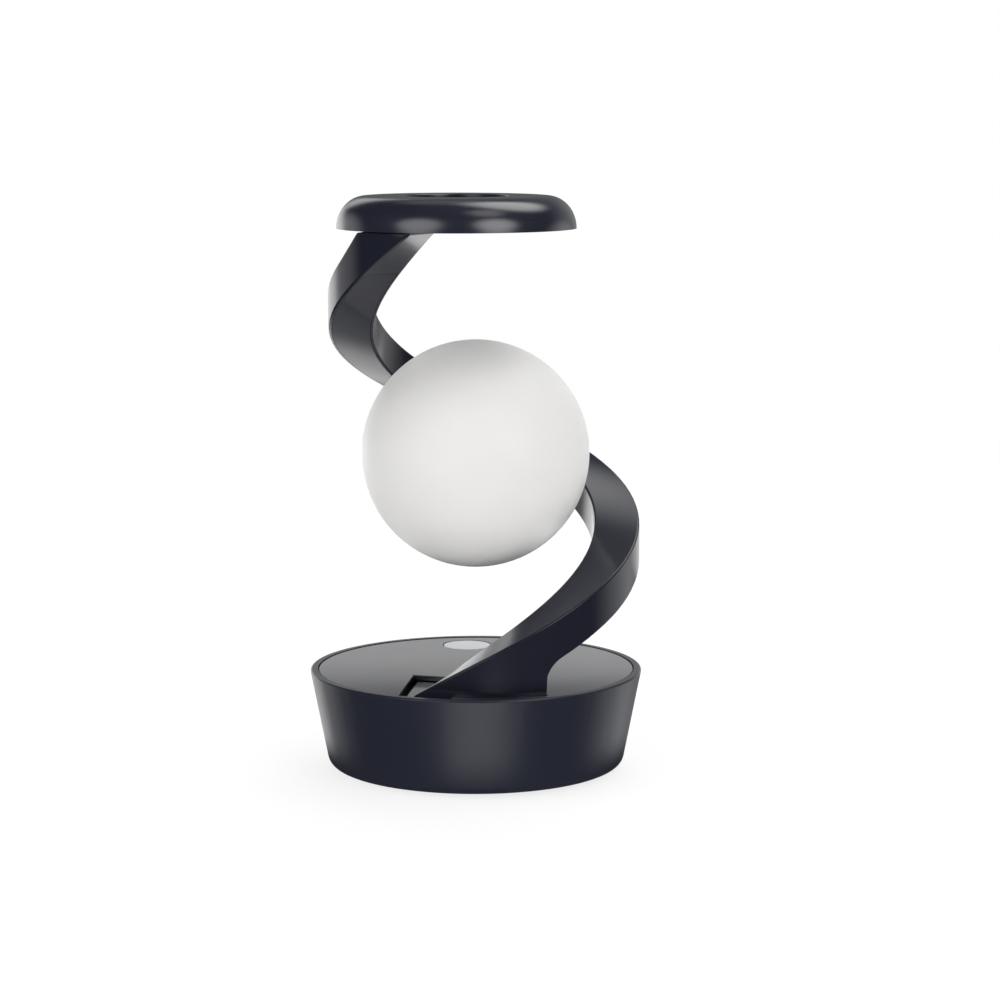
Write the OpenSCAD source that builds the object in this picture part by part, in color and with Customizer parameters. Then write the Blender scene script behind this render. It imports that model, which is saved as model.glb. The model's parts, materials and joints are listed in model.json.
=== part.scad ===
// Bedside lamp: a round weighted base, a flat arm that winds up and round a turning globe,
// and a small round shelf on top of the arm.
// The origin is the middle of the base where it stands on the table, +Z is up, and the front is -Y.
// Angles round the lamp start at the front and grow towards +X.

/* [Whole lamp] */
// Height from the table to the top of the shelf
lamp_h = 215; // [213:1:230]

/* [Base] */
// Height of the base's rim above the table
base_h = 37.5; // [36:0.5:42]
// Diameter over the rim
base_top_d = 125; // [123:1:135]
// How far the wall draws in at its bottom, on each side
base_taper = 7; // [5:0.5:9]
// Rounding at the bottom of the wall
base_edge_r = 4; // [2:0.5:5]
// Thickness of the sloping wall
base_wall = 2.4; // [2:0.2:3]
// Width of the flat top of the rim
rim_w = 2.8; // [2.4:0.2:3.4]
// Rounding of the rim's outer edge
rim_round = 0.7; // [0.4:0.1:1]
// Height of the rubber feet below the base
foot_proud = 1; // [0.6:0.2:2]

/* [Top panel] */
// Thickness of the glossy panel
panel_t = 2; // [1.6:0.2:2.4]
// Depth of the panel's top below the rim
panel_sunk = 0.2; // [0:0.1:0.6]
// Gap round the panel's edge
panel_gap = 0.35; // [0.2:0.05:0.6]
// Corner of the foot's notch to the left of the lamp's axis, as a share of the rim's radius
notch_left_share = 0.374; // [0.36:0.002:0.39]
// Corner of the notch in front of the lamp's axis, as a share of the rim's radius
notch_front_share = 0.243; // [0.23:0.002:0.26]
// Width of the notch
notch_w = 20; // [16:0.5:22]
// Angle of the notch's left edge to the front
notch_lean = 7.5; // [4:0.5:10]
// Slope of the notch's back edge to the front
notch_slope = 17; // [10:1:20]

/* [Power key] */
// Diameter of the key in the panel
key_d = 18.5; // [14:0.5:20]
// Distance from the panel's edge to the key's middle
key_edge = 15.35; // [14:0.05:18]
// Direction from the lamp's middle to the key
key_at = 184.5; // [176:0.5:190]
// How far the key goes down
key_travel = 0.6; // [0.4:0.1:0.8]

/* [Arm] */
// Radial width of the arm
arm_w = 17; // [16:0.5:18]
// Height of the arm's section at the arm's middle
arm_h = 14.9; // [14:0.1:16]
// Change of that height in half a turn
arm_h_taper = 1.05; // [0:0.05:1.5]
// How far inside the rim's edge the arm's outer face stays at its widest
arm_inset = 0.3; // [0.1:0.1:1]
// Direction in which the arm stands out furthest
arm_wide_at = 130; // [126:1:134]
// How much further from the lamp's axis the arm's upper end reaches than the shelf's radius
arm_top_out = 2.4; // [2:0.1:3]
// Height of the arm's middle between the panel and the shelf, as a share of that rise
arm_mid_share = 0.4635; // [0.46:0.0005:0.47]
// Climb of the arm in half a turn, as a share of the rise
arm_climb_share = 0.51; // [0.505:0.001:0.515]
// Lift of both ends above a steady climb, as a share of the rise
arm_bow_share = 0.02; // [0.016:0.001:0.024]
// Extra steepness of the two ends, as a share of the rise
arm_swoop_share = 0.043; // [0.04:0.001:0.046]
// Rounding of the arm's long edges
arm_edge_r = 0.8; // [0.4:0.1:1.2]
// Wall of the arm's hollow section
arm_wall = 2.2; // [1.8:0.1:2.6]
// Thickness of the strip that closes the arm's underside
cover_t = 1.8; // [1.4:0.1:2.2]
// Rounding between the foot and the arm's underside
foot_fillet = 6; // [4:0.5:7]
// Thickness of the flange under the foot
flange_t = 2.1; // [1.8:0.1:2.1]

/* [Globe] */
// Gap between the globe and the arm at the hub
globe_gap = 5.18; // [5:0.02:7]
// Wall of the globe
globe_wall = 1.8; // [1.4:0.1:2.4]
// Distance of the globe's middle in front of the lamp's axis
globe_front = 3; // [2:0.5:5]
// Direction of the hub from the lamp's axis
hub_at = 161; // [156:1:166]
// Wall of the collar outside its teeth
collar_wall = 2.03; // [1.8:0.01:3]

/* [Hub] */
// Diameter of the fixed tube that the globe turns on
tube_d = 11; // [10.6:0.1:11]
// Bore of that tube
tube_bore_d = 4; // [3.4:0.2:4.4]
// Running clearance round the tube, on the radius
run_gap = 0.05; // [0.03:0.01:0.08]
// Number of teeth in the collar
ring_teeth = 48; // [48:4:48]
// Number of teeth on the pinion
pinion_teeth = 12; // [12:1:12]
// Module of the teeth
tooth_m = 0.6; // [0.58:0.01:0.61]

/* [Shelf] */
// Diameter of the shelf
shelf_d = 89; // [88:0.5:92]
// Height of the shelf's edge
shelf_h = 12; // [11.5:0.5:13]
// Width of the shelf's rounded edge
shelf_round = 10.7; // [9:0.1:12]
// Wall of the shelf
shelf_wall = 2; // [1.6:0.1:2.4]
// Distance of the shelf's middle to the left of the lamp's axis
shelf_left = 7; // [6.5:0.1:7.5]
// Distance of the shelf's middle in front of the lamp's axis
shelf_front = 1; // [0.5:0.1:1.5]
// Diameter of the round recess in the shelf
recess_d = 39; // [34:0.5:42]
// Depth of that recess above its pad
recess_depth = 2.2; // [1:0.1:2.6]

/* [Hidden] */

$fn = 96;
// Overrun of every cut past the face that it opens
over = 0.5;
// Gap between fixed pieces that fit side by side
fit = 0.15;
// Gap round a moving piece
free_gap = 0.3;
// Gap between a fixing and its hole
hole_gap = 0.05;
// Overlap that keeps two cuts from ending on one face
seam = 0.03;

// Screws: radius of the thread, radius and height of the head, clearance hole
screw_r = 1.2;
screw_head_r = 2.4;
screw_head_h = 1.4;
screw_free_r = 1.5;
long_screw = 9.6;
short_screw = 4.8;

// Levels in the base
base_z = foot_proud;
bottom_t = 2;
bottom_top = base_z + bottom_t;
panel_top = base_h - panel_sunk;
panel_z = panel_top - panel_t;
flange_drop = 0.2;
flange_top = panel_z - flange_drop;
deck_t = 2.2;
deck_top = flange_top - flange_t;
deck_z = deck_top - deck_t;
ledge_h = 2.8;
rim_r = base_top_d / 2;
foot_ring_r = rim_r - base_taper;
panel_hole_r = rim_r - rim_w;
panel_r = panel_hole_r - panel_gap;
panel_seat_w = 1;
seat_r = panel_r - panel_seat_w;
deck_r = seat_r - free_gap;
deck_seat_w = 2.4;
wall_lean = atan((rim_r - foot_ring_r) / (base_h - base_z));

// Bottom cover, feet and screw bosses
cover_seat_w = 2.7;
cover_seat_h = 1.6;
bottom_ring_w = 1;
bottom_r = foot_ring_r - base_edge_r - bottom_ring_w;
boss_r = 3.4;
boss_inset = 0.8;
boss_out = bottom_r - boss_r - boss_inset;
boss_angles = [45, 135, 225, 315];
rib_t = 2;
foot_r = 4.5;
foot_inset = 1;
foot_out = bottom_r - foot_r - cover_seat_w;
foot_angles = [0, 90, 180, 270];
ballast_r = bottom_r - 3 * foot_r;
ballast_t = 4;

// Main board
board_w_share = 0.71;
board_l_share = 0.69;
board_w = board_w_share * bottom_r;
board_l = board_l_share * bottom_r;
board_inset = 0.5;
board_t = 1.6;
board_lift = 2.5;
board_z = bottom_top + ballast_t + board_lift;
board_back = bottom_r - board_inset;
board_post_r = 2.6;
board_post_inset = 4;
board_post_back = 8;
chip_w = 10;
chip_l = 6;
chip_h = 2;
usb_w = 9;
usb_h = 3.2;
usb_l = 7.5;
usb_skin = 0.35;
usb_floor = 1;
usb_sunk = 0.8;
usb_gap = 0.3;
tongue_w = 6.7;
tongue_t = 0.7;
usb_z = board_z + board_t + usb_h / 2;

// Power key and its switch
key_pos = swing(panel_r - key_edge, key_at, 0);
key_flange_w = 1.2;
key_flange_t = 1.2;
key_stem_r = 2;
key_under = panel_z - key_flange_t;
switch_w = 6;
switch_h = 3.4;
plunger_r = 1.7;
plunger_h = 2.6;
switch_board_w = 28;
switch_board_l = 12;
switch_top = deck_z - 2 * key_travel;
key_foot = switch_top + key_travel + fit;
switch_board_top = switch_top - switch_h;
switch_post_out = 10;
switch_post_r = 2.4;

// Small pads on the deck that hold up the panel, as shares of the deck's radius
deck_pad_r = 3;
deck_pad_shares = [[0, 0], [0.5, 0.25], [-0.5, 0.25], [0.55, -0.3], [-0.6, -0.2]];

// Notch in the panel round the arm's foot, and the flange inside it
notch_corner = [-notch_left_share * rim_r, -notch_front_share * rim_r];
notch_along = [cos(notch_slope), -sin(notch_slope)];
notch_out = [-sin(notch_lean), -cos(notch_lean)];
flange_gap = 1.9;

// Places on the arm
arm_tip_at = -25;
foot_right_at = 26;
foot_face_lean = 0.3;
arm_end_at = 330;
channel_from = 14;
channel_to = 308;
cover_from = 35;
cover_to = 306;
flare_from = 285;
flare_to = 303;
flare_h = 3.6;
arm_step = 4;
cover_lip = 1;
arm_screw_at = [-4, 8];
arm_screw_len = 8;
cable_hole_at = 19;
cable_hole_r = 2.4;
cable_r = 1.8;
cable_out_at = 304;
cable_tail = 5;
cable_bend = 3;
cable_lay = 8;
cable_bend_lean = 60;
cable_lay_lean = 25;
tip_t = 0.9;
shelf_z = lamp_h - shelf_h;
rise = shelf_z - panel_top;
arm_r_wide = rim_r - arm_inset;
arm_r_top = shelf_d / 2 + arm_top_out;
arm_r_foot = seat_r - free_gap;

// Hub, along a line from the globe's middle to the arm
arm_inner_at_hub = arm_r(hub_at) - arm_w;
globe_pos = [0, -globe_front, arm_z(hub_at)];
hub_vec = swing(arm_inner_at_hub, hub_at, 0) - [0, -globe_front, 0];
hub_turn = atan2(hub_vec[0], hub_vec[1]);
hub_reach = norm(hub_vec);
hub_boss_proud = 1.9;
hub_boss_root = 0.3;
hub_boss_r = 6.5;
hub_flange_t = 1.8;
hub_seat = hub_reach - hub_boss_proud;
hub_spigot_r = 3.2;
hub_nut_r = 4.6;
hub_nut_t = 2.4;
hub_nut_at = hub_reach + arm_wall + free_gap;
hub_end = hub_nut_at + hub_nut_t + fit;
hub_slope = atan(rise * arm_climb_share / (PI * arm_r(hub_at)));
globe_r = hub_reach - globe_gap;
ring_r = tooth_m * ring_teeth / 2;
pinion_r = tooth_m * pinion_teeth / 2;
gear_offset = ring_r - pinion_r;
tooth_play = 0.14;
root_share = 0.95;
globe_hole_r = ring_r + root_share * tooth_m + collar_wall;
hole_face = sqrt(globe_r * globe_r - globe_hole_r * globe_hole_r);
lip_w = 1.4;
lip_t = 1.2;
tube_r = tube_d / 2;
sleeve_wall = 2.9;
sleeve_r = tube_r + sleeve_wall;
sleeve_end = hub_seat - hub_flange_t - free_gap;
sleeve_in = 4.5;
sleeve_start = hole_face - sleeve_in;
collar_plate_t = 2.4;
gear_w = 5;
collar_in = 10;
gear_start = hole_face - collar_in;
clip_t = 0.8;
clip_w = 0.9;
clip_end = sleeve_start - free_gap;
core_t = 2;
core_gap = 3;
core_face = gear_start - core_gap;
tube_start = core_face - core_t - free_gap;
core_inset = 1.5;
core_r = globe_hole_r - core_inset;
motor_r = gear_offset - tube_r - free_gap;
motor_l = 16;
shaft_r = 0.9;
shaft_in = 6;
led_r = 14.5;
led_t = 1.6;
led_gap = 4;
led_face = core_face - core_t - motor_l - led_gap;
led_ring = 10;
led_w = 3;
led_h = 0.8;
led_count = 8;
post_r = 1.6;
post_out = 11;
post_angles = [30, 150];
lead_r = 1.4;

// Shelf
shelf_r = shelf_d / 2;
shelf_pos = [-shelf_left, -shelf_front, 0];
shelf_plate_t = 2;
shelf_plate_r = shelf_r - shelf_wall - fit;
recess_r = recess_d / 2;
recess_edge = 0.5;
pad_t = 1.4;
pad_floor = lamp_h - recess_depth - pad_t;
recess_floor_t = 1.6;
coil_top = pad_floor - recess_floor_t;
coil_t = 1.2;
coil_in_r = 8;
coil_r = 18.5;
backing_t = 1.2;
backing_r = 20;
shelf_post_r = 2.5;
shelf_screw_out = 30;
shelf_screw_angles = [45, 165, 285];
fixing_at = [312, 319];
fixing_len = 4.5;

// Point at radius r, direction a and height z
function swing(r, a, z) = [r * sin(a), -r * cos(a), z];

// Arm: outer radius, middle height and section height at direction a
function arm_u(a) = (a - 150) / 180;
function arm_r(a) = a < arm_wide_at
    ? arm_r_wide - (arm_r_wide - arm_r_foot) * pow((a - arm_wide_at) / (foot_right_at - arm_wide_at), 2)
    : arm_r_wide - (arm_r_wide - arm_r_top) * pow((a - arm_wide_at) / (arm_end_at - arm_wide_at), 2);
function arm_z(a) = panel_top + rise * (arm_mid_share + arm_climb_share * arm_u(a)
    + arm_bow_share * pow(arm_u(a), 2) + arm_swoop_share * pow(arm_u(a), 3));
function arm_height(a) = arm_h - arm_h_taper * arm_u(a);
function flare(a) = flare_h * pow(max(0, a - flare_from) / (flare_to - flare_from), 2);
function arm_top(a) = min(shelf_z, max(flange_top + tip_t, arm_z(a) + arm_height(a) / 2 + flare(a)));
function arm_under(a) = min(shelf_z - tip_t, arm_z(a) - arm_height(a) / 2);
function arm_mid_r(a) = arm_r(a) - arm_w / 2;

// Underside with the foot and the fillet beside it
function foot_way(a) = (a - foot_right_at) * PI / 180 * arm_r(a);
function fillet_drop(x) = x >= foot_fillet ? 0
    : foot_fillet - sqrt(pow(foot_fillet, 2) - pow(foot_fillet - x, 2));
function arm_bottom(a) = a <= foot_right_at ? flange_top
    : arm_under(a) - fillet_drop(foot_way(a));

// Rounded section between radii r0 and r1 and heights z0 and z1, in direction a
function section(a, r0, r1, z0, z1, edge) =
    let (e = min(edge, (z1 - z0) / 3))
    let (corners = [[r0 + e, z0 + e, 180], [r1 - e, z0 + e, 270], [r1 - e, z1 - e, 0], [r0 + e, z1 - e, 90]])
    [for (c = corners, t = [0, 45, 90]) swing(c[0] + e * cos(c[2] + t), a, c[1] + e * sin(c[2] + t))];

// Plain section between radii r0 and r1 and heights z0 and z1, in direction a
function box_section(a, r0, r1, z0, z1) =
    [swing(r0, a, z0), swing(r1, a, z0), swing(r1, a, z1), swing(r0, a, z1)];

// Directions of the arm's sections: steady, and closer together round the foot's fillet
function steps(from, to) =
    let (n = ceil((to - from) / arm_step))
    [for (i = [0 : n]) from + (to - from) * i / n];
fillet_end_at = foot_right_at + foot_fillet / arm_r(foot_right_at) * 180 / PI;
fillet_shares = [0, 0.05, 0.15, 0.3, 0.5, 0.75];
arm_directions = concat(
    steps(arm_tip_at, foot_right_at),
    [for (s = fillet_shares) foot_right_at + foot_face_lean + (fillet_end_at - foot_right_at) * s],
    steps(fillet_end_at + foot_face_lean, arm_end_at));

// Solid through rings of points, which all have as many points
module swept(rings) {
    n = len(rings[0]);
    m = len(rings);
    sides = [
        for (i = [0 : m - 2], j = [0 : n - 1])
            let (a = i * n + j, b = i * n + (j + 1) % n)
            each [[a, b, b + n], [a, b + n, a + n]]
    ];
    first_cap = [[for (j = [n - 1 : -1 : 0]) j]];
    last_cap = [[for (j = [0 : n - 1]) (m - 1) * n + j]];
    polyhedron([for (points = rings) each points], concat(sides, first_cap, last_cap));
}

// Solid of the arm's outer shape
module arm_body() {
    swept([for (a = arm_directions)
        section(a, arm_r(a) - arm_w, arm_r(a), arm_bottom(a), arm_top(a), arm_edge_r)]);
}

// Flat shape of the arm's foot, grown by a gap on all sides
module foot_outline(gap) {
    turn = gap / arm_mid_r(foot_right_at) * 180 / PI;
    directions = steps(arm_tip_at - turn, foot_right_at + foot_face_lean + turn);
    polygon(concat(
        [for (a = directions) [(arm_r(a) + gap) * sin(a), -(arm_r(a) + gap) * cos(a)]],
        [for (i = [len(directions) - 1 : -1 : 0])
            let (a = directions[i], r = arm_r(a) - arm_w - gap)
            [r * sin(a), -r * cos(a)]]));
}

// Flat shape of the notch that the arm's tail lies in, open at the panel's edge
module notch_outline() {
    polygon([
        notch_corner,
        notch_corner + notch_w * notch_along,
        notch_corner + notch_w * notch_along + rim_r * notch_out,
        notch_corner + rim_r * notch_out
    ]);
}

// Places things along the line from the globe's middle to the arm, with +Z along it and +Y down
module hub_frame() {
    translate(globe_pos)
        rotate([0, 0, -hub_turn])
            rotate([-90, 0, 0])
                children();
}

// Ring from radius r0 to r1, standing from z0 to z1
module ring(r0, r1, z0, z1) {
    difference() {
        translate([0, 0, z0])
            cylinder(r = r1, h = z1 - z0);
        translate([0, 0, z0 - over])
            cylinder(r = r0, h = z1 - z0 + 2 * over);
    }
}

// Round bar of radius r standing from z0 to z1
module bar(r, z0, z1) {
    translate([0, 0, z0])
        cylinder(r = r, h = z1 - z0);
}

// Copies at radius r in each direction
module around(r, angles) {
    for (a = angles)
        translate(swing(r, a, 0))
            rotate([0, 0, a])
                children();
}

// Copies on the arm's middle line in each direction
module on_arm(angles) {
    for (a = angles)
        translate(swing(arm_mid_r(a), a, 0))
            children();
}

// Screw with its head's seat at z = 0 and its thread upwards
module screw(length) {
    bar(screw_r, 0, length);
    difference() {
        bar(screw_head_r, -screw_head_h, 0);
        rotate([0, 0, 45])
            translate([-screw_r / 6, -screw_r, -screw_head_h - over])
                cube([screw_r / 3, 2 * screw_r, over + screw_head_h / 2]);
        rotate([0, 0, -45])
            translate([-screw_r / 6, -screw_r, -screw_head_h - over])
                cube([screw_r / 3, 2 * screw_r, over + screw_head_h / 2]);
    }
}

// Flat plate with half-round ends: full width w, height h, length l along +Y
module slot_bar(w, h, l) {
    for (x = [-1, 1])
        translate([x * (w - h) / 2, 0, 0])
            rotate([-90, 0, 0])
                cylinder(d = h, h = l);
    translate([-(w - h) / 2, 0, -h / 2])
        cube([w - h, l, h]);
}

// Angle between the middle of a tooth and its flank at radius r, for the pitch radius p
pressure_angle = 20;
function involute(k) = tan(k) * 180 / PI - k;
function flank(r, p, teeth, play) =
    let (b = p * cos(pressure_angle))
    90 / teeth - play / p * 90 / PI + involute(pressure_angle) - involute(acos(min(1, b / r)));

// Outline of a gear: reach past the pitch circle, depth inside it, and play between flanks
module gear_outline(teeth, reach, depth, play) {
    p = tooth_m * teeth / 2;
    radii = [for (s = [0 : 0.25 : 1]) p - depth + (reach + depth) * s];
    polygon([
        for (i = [0 : teeth - 1])
            each concat(
                [for (r = radii)
                    let (a = 360 * i / teeth - flank(r, p, teeth, play))
                    [r * cos(a), r * sin(a)]],
                [for (k = [len(radii) - 1 : -1 : 0])
                    let (r = radii[k], a = 360 * i / teeth + flank(r, p, teeth, play))
                    [r * cos(a), r * sin(a)]])
    ]);
}

// Inner radius of the base's sloping wall at height z
function wall_in(z) = foot_ring_r + (z - base_z) * tan(wall_lean) - base_wall / cos(wall_lean);

// Arc of radius r round [x, y] from angle a to angle b
function arc(x, y, r, a, b) =
    [for (i = [0 : 8])
        let (t = a + (b - a) * i / 8)
        [x + r * cos(t), y + r * sin(t)]];

module base_shell() {
    edge_x = foot_ring_r + base_edge_r * tan(wall_lean) - base_edge_r / cos(wall_lean);
    ledge_z = deck_z - ledge_h;
    color([0.14, 0.15, 0.2])
        difference() {
            union() {
                rotate_extrude($fn = 180)
                    polygon(concat(
                        [[bottom_r + fit, base_z]],
                        arc(edge_x, base_z + base_edge_r, base_edge_r, -90, -wall_lean),
                        arc(rim_r - rim_round, base_h - rim_round, rim_round, -wall_lean, 90),
                        [
                            [panel_hole_r, base_h],
                            [panel_hole_r, panel_z],
                            [seat_r, panel_z],
                            [seat_r, deck_z],
                            [seat_r - deck_seat_w, deck_z],
                            [seat_r - deck_seat_w, ledge_z],
                            [wall_in(ledge_z - deck_seat_w), ledge_z - deck_seat_w],
                            [wall_in(bottom_top + cover_seat_h), bottom_top + cover_seat_h],
                            [bottom_r - cover_seat_w, bottom_top + cover_seat_h],
                            [bottom_r - cover_seat_w, bottom_top],
                            [bottom_r + fit, bottom_top]
                        ]));
                around(boss_out, boss_angles) {
                    bar(boss_r, bottom_top, deck_z);
                    translate([rib_t / 2, 0, 0])
                        rotate([90, 0, -90])
                            linear_extrude(rib_t)
                                polygon([
                                    [0, bottom_top],
                                    [wall_in(bottom_top) + base_wall / 2 - boss_out, bottom_top],
                                    [wall_in(deck_z) + base_wall / 2 - boss_out, deck_z],
                                    [0, deck_z]
                                ]);
                }
            }
            around(boss_out, boss_angles)
                bar(screw_r + hole_gap, bottom_top - over, deck_z + over);
            translate([0, wall_in(usb_z) - over, usb_z])
                slot_bar(usb_w + 2 * usb_gap, usb_h + 2 * usb_gap, 2 * (base_wall + over));
        }
}

module bottom_cover() {
    color([0.12, 0.13, 0.17])
        difference() {
            union() {
                bar(bottom_r, base_z, bottom_top);
                board_posts();
            }
            around(boss_out, boss_angles) {
                bar(screw_free_r, base_z - over, bottom_top + over);
                bar(screw_head_r + fit, base_z - over, base_z + screw_head_h);
            }
            around(foot_out, foot_angles)
                bar(foot_r + fit, base_z - over, base_z + foot_inset);
            board_places()
                bar(screw_r + hole_gap, bottom_top, board_z + over);
        }
}

// The four corners of the main board where it is screwed down
module board_places() {
    for (x = [-1, 1], y = [0, 1])
        translate([
            x * (board_w / 2 - board_post_inset),
            board_back - (y == 0 ? board_post_back : board_l - board_post_inset),
            0
        ])
            children();
}

module board_posts() {
    board_places()
        bar(board_post_r, bottom_top, board_z);
}

module rubber_feet() {
    color([0.05, 0.05, 0.05])
        around(foot_out, foot_angles)
            bar(foot_r, 0, base_z + foot_inset);
}

module cover_screws() {
    color("silver")
        around(boss_out, boss_angles)
            translate([0, 0, base_z + screw_head_h])
                screw(long_screw);
}

module ballast_plate() {
    color([0.5, 0.5, 0.52])
        difference() {
            bar(ballast_r, bottom_top, bottom_top + ballast_t);
            board_places()
                bar(board_post_r + free_gap, bottom_top - over, bottom_top + ballast_t + over);
        }
}

module main_board() {
    color([0.05, 0.3, 0.15])
        difference() {
            translate([-board_w / 2, board_back - board_l, board_z])
                cube([board_w, board_l, board_t]);
            board_places()
                bar(screw_free_r, board_z - over, board_z + board_t + over);
        }
}

module board_chips() {
    color([0.08, 0.08, 0.08])
        for (x = [-1, 1])
            translate([
                x * chip_w * 0.7 - chip_w / 2,
                board_back - board_l / 2 - chip_l / 2,
                board_z + board_t
            ])
                cube([chip_w, chip_l, chip_h]);
}

module board_screws() {
    color("silver")
        board_places()
            translate([0, 0, board_z + board_t])
                mirror([0, 0, 1])
                    screw(short_screw);
}

module usb_socket() {
    color([0.7, 0.7, 0.72])
        translate([0, wall_in(usb_z) + base_wall - usb_sunk - usb_l, usb_z]) {
            difference() {
                slot_bar(usb_w, usb_h, usb_l);
                translate([0, usb_floor, 0])
                    slot_bar(usb_w - 2 * usb_skin, usb_h - 2 * usb_skin, usb_l);
            }
            translate([-tongue_w / 2, 0, -tongue_t / 2])
                cube([tongue_w, usb_l - usb_floor, tongue_t]);
        }
}

module base_deck() {
    color([0.2, 0.2, 0.22])
        difference() {
            union() {
                bar(deck_r, deck_z, deck_top);
                for (share = deck_pad_shares)
                    translate([share[0] * deck_r, share[1] * deck_r, 0])
                        bar(deck_pad_r, deck_top, panel_z);
                switch_places()
                    bar(switch_post_r, switch_board_top, deck_z);
            }
            around(boss_out, boss_angles)
                bar(screw_free_r, deck_z - over, deck_top + over);
            translate(key_pos)
                bar(key_stem_r + run_gap, deck_z - over, deck_top + over);
            on_arm(arm_screw_at)
                bar(screw_free_r, deck_z - over, deck_top + over);
            on_arm([cable_hole_at])
                bar(cable_hole_r, deck_z - over, deck_top + over);
            switch_places()
                bar(screw_r + hole_gap, switch_board_top - over, deck_z);
        }
}

// The two posts that carry the switch's board
module switch_places() {
    for (x = [-1, 1])
        translate(key_pos + [x * switch_post_out, 0, 0])
            children();
}

module deck_screws() {
    color("silver")
        around(boss_out, boss_angles)
            translate([0, 0, deck_top])
                mirror([0, 0, 1])
                    screw(long_screw);
}

module top_panel() {
    color([0.35, 0.36, 0.39])
        difference() {
            bar(panel_r, panel_z, panel_top);
            translate([0, 0, panel_z - over])
                linear_extrude(panel_t + 2 * over)
                    foot_outline(free_gap);
            translate([0, 0, panel_z - over])
                linear_extrude(panel_t + 2 * over)
                    notch_outline();
            translate(key_pos)
                bar(key_d / 2 + free_gap, panel_z - over, panel_top + over);
        }
}

module power_key() {
    color([0.7, 0.71, 0.73])
        translate(key_pos) {
            bar(key_d / 2, panel_z, panel_top);
            bar(key_d / 2 + key_flange_w, key_under, panel_z);
            bar(key_stem_r, key_foot, key_under);
        }
}

module switch_plunger() {
    color([0.1, 0.1, 0.1])
        translate(key_pos)
            bar(plunger_r, key_foot - plunger_h, key_foot);
}

module tact_switch() {
    color([0.6, 0.6, 0.6])
        translate(key_pos)
            difference() {
                translate([-switch_w / 2, -switch_w / 2, switch_board_top])
                    cube([switch_w, switch_w, switch_h]);
                bar(plunger_r + run_gap, switch_top - plunger_h, switch_top + over);
            }
}

module switch_board() {
    color([0.05, 0.3, 0.15])
        difference() {
            translate(key_pos + [-switch_board_w / 2, -switch_board_l / 2, switch_board_top - board_t])
                cube([switch_board_w, switch_board_l, board_t]);
            switch_places()
                bar(screw_free_r, switch_board_top - board_t - over, switch_board_top + over);
        }
}

module switch_screws() {
    color("silver")
        switch_places()
            translate([0, 0, switch_board_top - board_t])
                screw(short_screw);
}

module arm_flange() {
    flange_corner = notch_corner + flange_gap * notch_along + flange_gap / 2 * notch_out;
    color([0.45, 0.46, 0.48])
        difference() {
            intersection() {
                bar(deck_r - fit, deck_top, flange_top);
                translate([0, 0, deck_top - over])
                    linear_extrude(flange_t + 2 * over)
                        polygon([
                            flange_corner,
                            flange_corner + rim_r * notch_along,
                            flange_corner + rim_r * notch_along + 2 * rim_r * notch_out,
                            flange_corner + 2 * rim_r * notch_out
                        ]);
                rotate([0, 0, foot_right_at + foot_face_lean])
                    translate([-2 * rim_r, -rim_r, deck_top - over])
                        cube([2 * rim_r, rim_r, flange_t + 2 * over]);
            }
            on_arm(arm_screw_at)
                bar(screw_free_r, deck_top - over, flange_top + over);
            on_arm([cable_hole_at])
                bar(cable_hole_r, deck_top - over, flange_top + over);
        }
}

module arm_screws() {
    color("silver")
        on_arm(arm_screw_at)
            translate([0, 0, deck_z])
                screw(deck_t + flange_t + arm_screw_len);
}

// Plain section of the arm at direction a: how far it stays inside the arm's sides, and the
// heights of its floor and its top above the arm's underside
function arm_slice(a, inside, floor_h, top_h) =
    let (z = arm_under(a))
    box_section(a, arm_r(a) - arm_w + inside, arm_r(a) - inside, z + floor_h, z + top_h);

// Directions of the closing strip's sections, with its ends drawn in by a gap
function cover_directions(gap) =
    let (all = steps(cover_from, cover_to))
    [for (i = [0 : len(all) - 1])
        all[i] + (i == 0 ? gap : i == len(all) - 1 ? -gap : 0)];

module arm_shell() {
    color([0.15, 0.16, 0.2])
        difference() {
            union() {
                difference() {
                    arm_body();
                    swept([for (a = steps(channel_from, channel_to))
                        arm_slice(a, arm_wall, cover_t, arm_top(a) - arm_under(a) - arm_wall)]);
                    swept([for (a = cover_directions(0))
                        arm_slice(a, arm_wall - cover_lip, -over, cover_t + seam)]);
                }
                hub_frame()
                    bar(hub_boss_r, hub_seat, hub_reach + hub_boss_root);
            }
            hub_frame()
                bar(hub_spigot_r + hole_gap, hub_seat - over, hub_reach + 2 * arm_wall);
            on_arm(arm_screw_at)
                bar(screw_r + hole_gap, flange_top - over, flange_top + arm_screw_len + over);
            on_arm([cable_hole_at])
                bar(cable_hole_r, flange_top - over, arm_z(cable_hole_at));
            on_arm([cable_out_at])
                bar(cable_hole_r, arm_z(cable_out_at), shelf_z + over);
            on_arm(fixing_at)
                bar(screw_r + hole_gap, shelf_z - fixing_len - over, shelf_z + over);
        }
}

module arm_cover() {
    color([0.15, 0.16, 0.2])
        swept([for (a = cover_directions(fit))
            arm_slice(a, arm_wall - cover_lip + fit, 0, cover_t)]);
}

// Ring of eight points on the arm's middle line at height z, square to a run that leans up by an angle
function cable_ring(a, z, lean) =
    [for (k = [0 : 7])
        let (x = cable_r * cos(45 * k), y = cable_r * sin(45 * k))
        swing(arm_mid_r(a) + x, a, z) + [-y * sin(lean) * cos(a), -y * sin(lean) * sin(a), y * cos(lean)]];

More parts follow.
